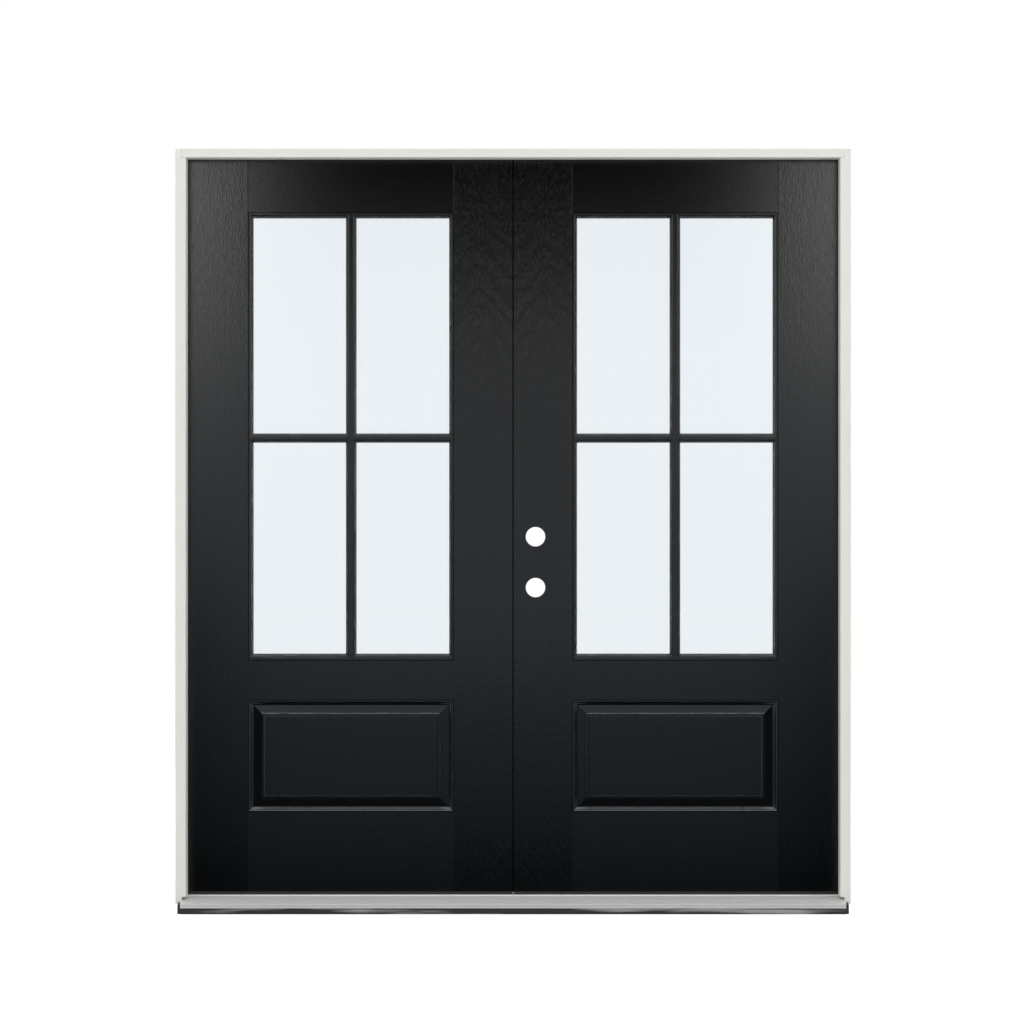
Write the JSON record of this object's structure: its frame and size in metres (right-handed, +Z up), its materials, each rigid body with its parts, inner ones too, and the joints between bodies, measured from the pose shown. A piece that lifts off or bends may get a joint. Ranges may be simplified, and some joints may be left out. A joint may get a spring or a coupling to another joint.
{
  "type": "fiberglass double entry door",
  "caption": "Pair of hinged entry doors in a frame with sill: woodgrain skins, divided glass over a raised panel, passive leaf with flush bolts, active leaf bored for a lock.",
  "frame": {"origin": "on the underside of the sill, at the seam between the leaves, midway through the jambs' depth", "axes": "+X to the right seen from outside, +Y into the building, +Z up"},
  "size_m": [1.8484, 0.1644, 2.0908],
  "materials": {
    "composite_jamb": "painted white, low sheen",
    "fiberglass_skin": "moulded woodgrain, charcoal satin paint",
    "glazing_frame": "moulded, charcoal satin paint",
    "stile_wood": "laminated veneer, sawn inside the leaf and painted charcoal on its edges",
    "foam": "rigid polyurethane foam",
    "glass": "clear float",
    "spacer": "mill",
    "rubber": "matt extruded vinyl",
    "weatherstrip": "matt foam-filled",
    "mill_aluminium": "mill extruded",
    "sill_composite": "moulded black composite",
    "threshold_cap": "extruded composite",
    "satin_nickel": "satin nickel plate"
  },
  "bodies": {
    "frame": {"corner_pad_left": "weatherstrip", "corner_pad_right": "weatherstrip", "head_jamb": "composite_jamb", "head_strike": "satin_nickel", "hinge_jamb_half_left_1": "satin_nickel", "hinge_jamb_half_left_2": "satin_nickel", "hinge_jamb_half_left_3": "satin_nickel", "hinge_jamb_half_right_1": "satin_nickel", "hinge_jamb_half_right_2": "satin_nickel", "hinge_jamb_half_right_3": "satin_nickel", "left_jamb": "composite_jamb", "right_jamb": "composite_jamb", "sill_base": "sill_composite", "sill_deck": "mill_aluminium", "sill_strike": "satin_nickel", "threshold_cap": "threshold_cap", "weatherstrip_head": "weatherstrip", "weatherstrip_left": "weatherstrip", "weatherstrip_right": "weatherstrip"},
    "left_leaf": {"bottom_flush_bolt_plate": "satin_nickel", "deadbolt_strike": "satin_nickel", "hinge_leaf_half_left_1": "satin_nickel", "hinge_leaf_half_left_2": "satin_nickel", "hinge_leaf_half_left_3": "satin_nickel", "latch_strike": "satin_nickel", "left_bottom_rail": "stile_wood", "left_exterior_lite_frame": "glazing_frame", "left_exterior_skin": "fiberglass_skin", "left_foam_core": "foam", "left_glass_spacer": "spacer", "left_hinge_stile": "stile_wood", "left_inner_pane": "glass", "left_interior_lite_frame": "glazing_frame", "left_interior_skin": "fiberglass_skin", "left_lock_stile": "stile_wood", "left_outer_pane": "glass", "left_sweep": "rubber", "left_top_rail": "stile_wood", "meeting_seal": "rubber", "top_flush_bolt_plate": "satin_nickel"},
    "right_leaf": {"hinge_leaf_half_right_1": "satin_nickel", "hinge_leaf_half_right_2": "satin_nickel", "hinge_leaf_half_right_3": "satin_nickel", "right_bottom_rail": "stile_wood", "right_exterior_lite_frame": "glazing_frame", "right_exterior_skin": "fiberglass_skin", "right_foam_core": "foam", "right_glass_spacer": "spacer", "right_hinge_stile": "stile_wood", "right_inner_pane": "glass", "right_interior_lite_frame": "glazing_frame", "right_interior_skin": "fiberglass_skin", "right_lock_block": "stile_wood", "right_lock_stile_lower": "stile_wood", "right_lock_stile_upper": "stile_wood", "right_outer_pane": "glass", "right_sweep": "rubber", "right_top_rail": "stile_wood"},
    "top_bolt": {"top_flush_bolt_rod": "satin_nickel"},
    "bottom_bolt": {"bottom_flush_bolt_rod": "satin_nickel"}
  },
  "joints": [
    {"name": "left_hinge", "type": "hinge", "parent": "frame", "child": "left_leaf", "pos_m": [-0.9056, 0.065, 1.05], "axis": [0, 0, 1], "range_deg": [0, 170]},
    {"name": "right_hinge", "type": "hinge", "parent": "frame", "child": "right_leaf", "pos_m": [0.9056, 0.065, 1.05], "axis": [0, 0, -1], "range_deg": [0, 170]},
    {"name": "top_bolt_slide", "type": "slide", "parent": "left_leaf", "child": "top_bolt", "axis": [0, 0, 1], "range_m": [0, 0.014]},
    {"name": "bottom_bolt_slide", "type": "slide", "parent": "left_leaf", "child": "bottom_bolt", "axis": [0, 0, -1], "range_m": [0, 0.019]}
  ]
}
